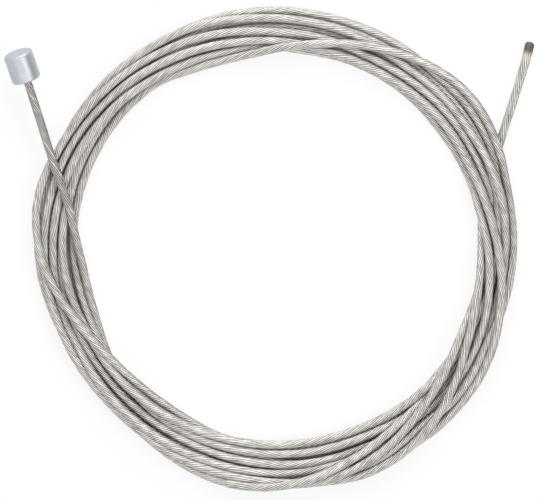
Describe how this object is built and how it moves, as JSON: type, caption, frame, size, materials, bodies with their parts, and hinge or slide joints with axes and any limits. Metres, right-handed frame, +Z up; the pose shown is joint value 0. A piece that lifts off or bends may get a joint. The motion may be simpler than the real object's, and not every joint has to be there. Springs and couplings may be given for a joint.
{
  "type": "shift cable",
  "caption": "Coiled steel inner cable for a bicycle gear shifter, with a cylindrical cast head on one end and a fused bare tip on the other.",
  "frame": {"origin": "middle of the part's footprint, on the surface that the coil lies on", "axes": "+Z up out of that surface and along the coil's axis, +X from the head's side of the coil to the tail's side, +Y towards the side where both free ends point"},
  "size_m": [0.0814, 0.0746, 0.0087],
  "materials": {
    "cast_zinc": "satin die-cast zinc, finely speckled",
    "stranded_steel": "bare drawn steel wires in a long left-hand lay"
  },
  "bodies": {
    "root": {"end_head": "cast_zinc", "cable_lead": "stranded_steel", "cable_coil": "stranded_steel", "cable_tail": "stranded_steel"}
  },
  "joints": []
}
